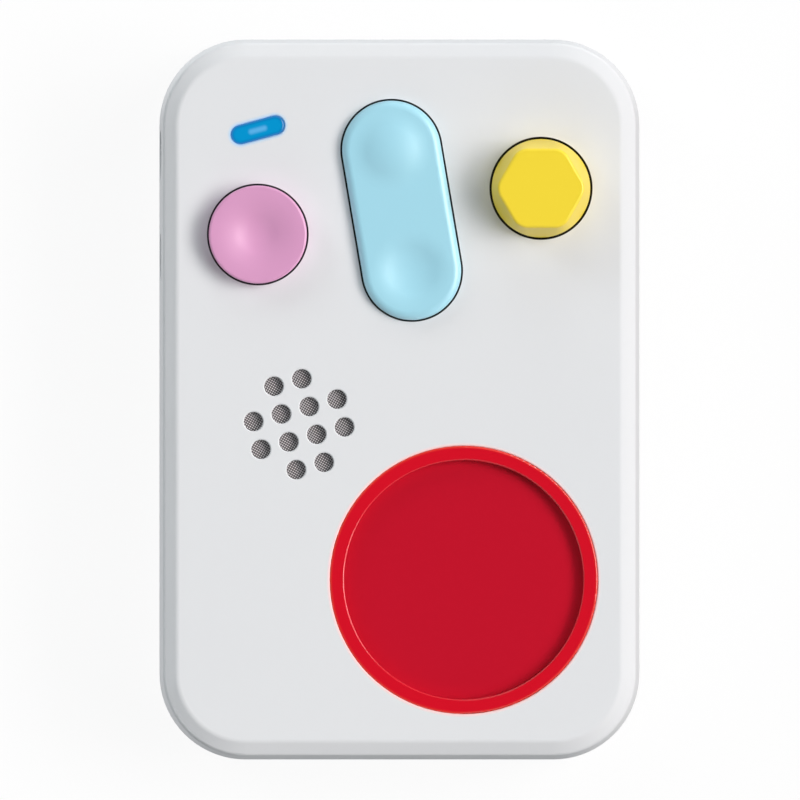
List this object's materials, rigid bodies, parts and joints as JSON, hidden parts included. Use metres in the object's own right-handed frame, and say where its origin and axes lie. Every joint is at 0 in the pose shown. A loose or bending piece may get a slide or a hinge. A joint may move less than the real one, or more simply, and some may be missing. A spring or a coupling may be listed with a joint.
{
  "type": "audio story player",
  "caption": "Flat rounded box with a bevelled face, a round red tray for a story tag, a speaker grille, a dished push button, a tilting rocker, a six-sided knob and a small light.",
  "frame": {"origin": "on the surface that the feet stand on, under the middle of the casing, with the player lying on its back", "axes": "+Z out of the face, +Y towards the edge nearest the controls, +X to the right as the face is looked at"},
  "size_m": [0.12, 0.18, 0.0448],
  "materials": {
    "shell_white": "fine matt moulded ABS",
    "foot_rubber": "matt rubber",
    "screw_steel": "zinc-plated steel",
    "tray_red": "satin moulded plastic",
    "board_green": "solder-masked glass laminate",
    "copper_track": "printed copper",
    "button_pink": "satin moulded plastic",
    "rocker_blue": "satin moulded plastic",
    "pin_steel": "ground steel",
    "frame_black": "moulded nylon",
    "dome_silicone": "translucent silicone",
    "knob_yellow": "satin moulded plastic",
    "shaft_metal": "turned steel",
    "encoder_metal": "stamped metal",
    "lens_blue": "tinted clear polycarbonate",
    "led_epoxy": "clear epoxy",
    "speaker_cloth": "woven acoustic mesh",
    "foam_black": "closed-cell foam",
    "basket_steel": "pressed steel, black coated",
    "cone_paper": "pressed paper",
    "magnet_ferrite": "ferrite between plated steel plates",
    "chip_black": "moulded epoxy",
    "socket_steel": "drawn stainless steel",
    "capacitor_aluminium": "drawn aluminium can",
    "header_nylon": "natural nylon",
    "header_black": "moulded nylon",
    "slider_grey": "moulded acetal",
    "cell_sleeve": "shrink sleeve",
    "lead_pvc": "flexible insulation"
  },
  "bodies": {
    "case": {"front_shell": "shell_white", "back_shell": "shell_white", "rubber_feet": "foot_rubber", "case_screws": "screw_steel", "tag_tray": "tray_red", "antenna_board": "board_green", "antenna_coil": "copper_track", "rocker_frame": "frame_black", "rocker_frame_screws": "screw_steel", "play_dome": "dome_silicone", "rocker_domes": "dome_silicone", "encoder_body": "encoder_metal", "status_lens": "lens_blue", "status_led": "led_epoxy", "speaker_cloth": "speaker_cloth", "speaker_gasket": "foam_black", "speaker_basket": "basket_steel", "speaker_cone": "cone_paper", "speaker_magnet": "magnet_ferrite", "speaker_clamp": "frame_black", "speaker_clamp_screws": "screw_steel", "main_board": "board_green", "board_screws": "screw_steel", "processor_chip": "chip_black", "card_socket": "socket_steel", "capacitors": "capacitor_aluminium", "board_headers": "header_nylon", "usb_socket": "socket_steel", "usb_tongue": "header_black", "power_switch": "header_black", "battery_cell": "cell_sleeve", "battery_pad": "foam_black", "battery_clamp": "frame_black", "battery_clamp_screws": "screw_steel", "battery_lead": "lead_pvc", "speaker_lead": "lead_pvc", "antenna_lead": "lead_pvc"},
    "play_button": {"play_button": "button_pink"},
    "skip_rocker": {"skip_rocker": "rocker_blue", "rocker_pin": "pin_steel"},
    "volume_knob": {"volume_knob": "knob_yellow", "encoder_shaft": "shaft_metal"},
    "power_slider": {"power_slider": "slider_grey"}
  },
  "joints": [
    {"name": "play_press", "type": "slide", "parent": "case", "child": "play_button", "axis": [0, 0, -1], "range_m": [0, 0.0015], "stiffness_N_per_m": 900, "springref_m": -0.0004, "deforming": ["play_dome"]},
    {"name": "rocker_tilt", "type": "hinge", "parent": "case", "child": "skip_rocker", "pos_m": [0.00057, 0.04729, 0.02951], "axis": [0.9861, 0.1664, 0], "range_deg": [-2.5, 2.5], "stiffness_Nm_per_rad": 0.9, "deforming": ["rocker_domes"]},
    {"name": "volume_turn", "type": "hinge", "parent": "case", "child": "volume_knob", "pos_m": [0.0354, 0.0528, 0.035], "axis": [0, 0, 1], "continuous": true},
    {"name": "power_slide", "type": "slide", "parent": "case", "child": "power_slider", "axis": [0, -1, 0], "range_m": [0, 0.005]}
  ]
}
